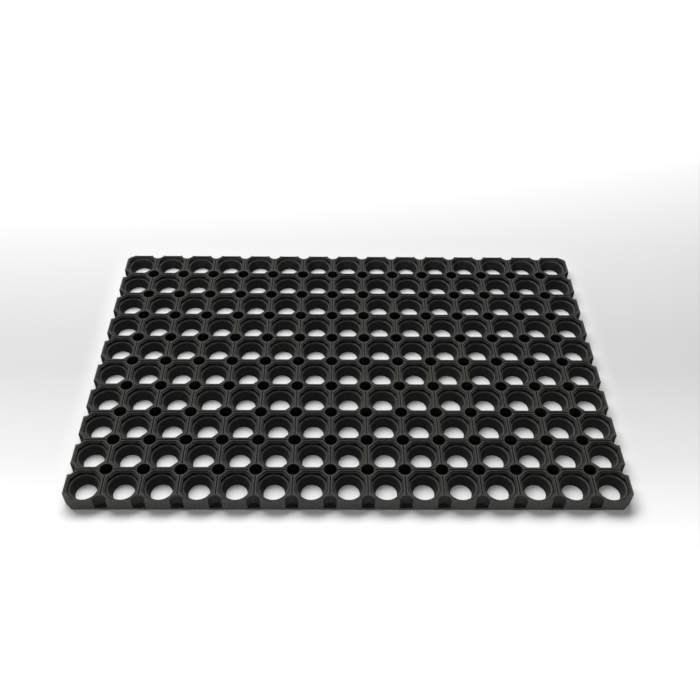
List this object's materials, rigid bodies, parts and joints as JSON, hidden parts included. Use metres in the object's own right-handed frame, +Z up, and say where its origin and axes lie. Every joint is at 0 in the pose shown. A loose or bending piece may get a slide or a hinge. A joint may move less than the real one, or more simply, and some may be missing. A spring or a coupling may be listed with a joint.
{
  "type": "door mat",
  "caption": "Black moulded rubber ring mat with octagonal drain cells and blind round cups at the cell corners; it curls up along its cross grooves.",
  "frame": {"origin": "middle of the underside, on the floor", "axes": "+X along the long side, +Y from the front edge to the back edge, +Z up"},
  "size_m": [0.6, 0.4, 0.017],
  "materials": {
    "black_rubber": "matt moulded natural and recycled rubber, slightly worn on the raised rims"
  },
  "bodies": {
    "row_01": {"base_row_01": "black_rubber", "rim_row_01": "black_rubber", "cups_front_edge": "black_rubber", "cups_line_01": "black_rubber"},
    "row_02": {"base_row_02": "black_rubber", "rim_row_02": "black_rubber", "cups_line_02": "black_rubber"},
    "row_03": {"base_row_03": "black_rubber", "rim_row_03": "black_rubber", "cups_line_03": "black_rubber"},
    "row_04": {"base_row_04": "black_rubber", "rim_row_04": "black_rubber", "cups_line_04": "black_rubber"},
    "row_05": {"base_row_05": "black_rubber", "rim_row_05": "black_rubber", "cups_line_05": "black_rubber"},
    "row_06": {"base_row_06": "black_rubber", "rim_row_06": "black_rubber", "cups_line_06": "black_rubber"},
    "row_07": {"base_row_07": "black_rubber", "rim_row_07": "black_rubber", "cups_line_07": "black_rubber"},
    "row_08": {"base_row_08": "black_rubber", "rim_row_08": "black_rubber", "cups_line_08": "black_rubber"},
    "row_09": {"base_row_09": "black_rubber", "rim_row_09": "black_rubber", "cups_line_09": "black_rubber"},
    "row_10": {"base_row_10": "black_rubber", "rim_row_10": "black_rubber", "cups_back_edge": "black_rubber"}
  },
  "joints": [
    {"name": "groove_01_flex", "type": "hinge", "parent": "row_01", "child": "row_02", "pos_m": [0, -0.16, 0.017], "axis": [1, 0, 0], "range_deg": [0, 25], "stiffness_Nm_per_rad": 1},
    {"name": "groove_02_flex", "type": "hinge", "parent": "row_02", "child": "row_03", "pos_m": [0, -0.12, 0.017], "axis": [1, 0, 0], "range_deg": [0, 25], "stiffness_Nm_per_rad": 1},
    {"name": "groove_03_flex", "type": "hinge", "parent": "row_03", "child": "row_04", "pos_m": [0, -0.08, 0.017], "axis": [1, 0, 0], "range_deg": [0, 25], "stiffness_Nm_per_rad": 1},
    {"name": "groove_04_flex", "type": "hinge", "parent": "row_04", "child": "row_05", "pos_m": [0, -0.04, 0.017], "axis": [1, 0, 0], "range_deg": [0, 25], "stiffness_Nm_per_rad": 1},
    {"name": "groove_05_flex", "type": "hinge", "parent": "row_05", "child": "row_06", "pos_m": [0, 0, 0.017], "axis": [1, 0, 0], "range_deg": [0, 25], "stiffness_Nm_per_rad": 1},
    {"name": "groove_06_flex", "type": "hinge", "parent": "row_06", "child": "row_07", "pos_m": [0, 0.04, 0.017], "axis": [1, 0, 0], "range_deg": [0, 25], "stiffness_Nm_per_rad": 1},
    {"name": "groove_07_flex", "type": "hinge", "parent": "row_07", "child": "row_08", "pos_m": [0, 0.08, 0.017], "axis": [1, 0, 0], "range_deg": [0, 25], "stiffness_Nm_per_rad": 1},
    {"name": "groove_08_flex", "type": "hinge", "parent": "row_08", "child": "row_09", "pos_m": [0, 0.12, 0.017], "axis": [1, 0, 0], "range_deg": [0, 25], "stiffness_Nm_per_rad": 1},
    {"name": "groove_09_flex", "type": "hinge", "parent": "row_09", "child": "row_10", "pos_m": [0, 0.16, 0.017], "axis": [1, 0, 0], "range_deg": [0, 25], "stiffness_Nm_per_rad": 1}
  ]
}
